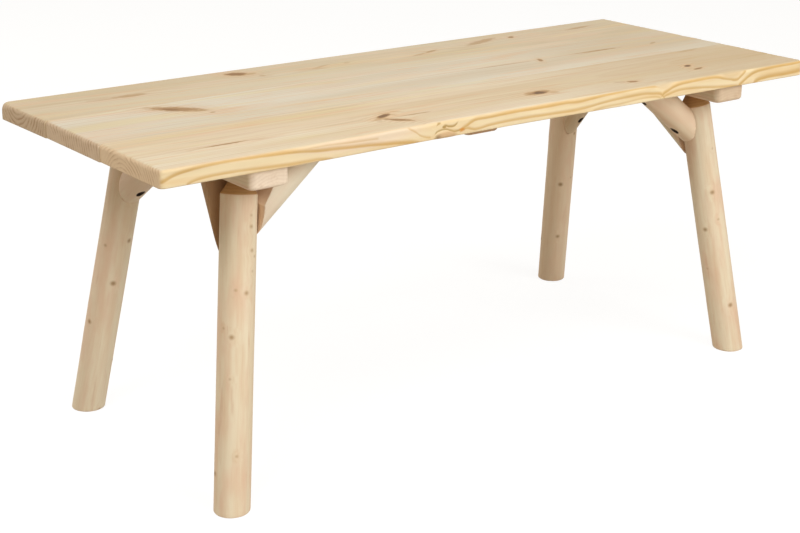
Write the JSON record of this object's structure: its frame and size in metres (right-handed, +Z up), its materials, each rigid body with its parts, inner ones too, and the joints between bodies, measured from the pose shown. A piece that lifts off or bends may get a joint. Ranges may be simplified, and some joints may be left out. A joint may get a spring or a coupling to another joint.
{
  "type": "dining table",
  "caption": "Rustic dining table: thick pine plank top with a natural front edge, on splayed round log legs with log braces and flat end cleats.",
  "frame": {"origin": "on the floor, midway between the ends of the top and midway between the outermost feet", "axes": "+X along the table to the picture's right, +Y across it to the far side, +Z up"},
  "size_m": [1.848, 0.7769, 0.76],
  "materials": {
    "plank_pine": "sanded pine with a clear satin coat",
    "cleat_pine": "sanded pine with a clear satin coat",
    "leg_log": "peeled round log with a clear satin coat",
    "brace_log": "peeled round log with a clear satin coat",
    "screw_steel": "plain steel"
  },
  "bodies": {
    "root": {"far_board": "plank_pine", "middle_board": "plank_pine", "near_board": "plank_pine", "left_cleat": "cleat_pine", "right_cleat": "cleat_pine", "middle_batten": "cleat_pine", "near_left_leg": "leg_log", "far_left_leg": "leg_log", "far_right_leg": "leg_log", "near_right_leg": "leg_log", "near_left_long_brace": "brace_log", "far_left_long_brace": "brace_log", "far_right_long_brace": "brace_log", "near_right_long_brace": "brace_log", "near_left_cross_brace": "brace_log", "far_left_cross_brace": "brace_log", "far_right_cross_brace": "brace_log", "near_right_cross_brace": "brace_log", "brace_leg_screws": "screw_steel", "brace_upper_screws": "screw_steel", "board_screws": "screw_steel"}
  },
  "joints": []
}
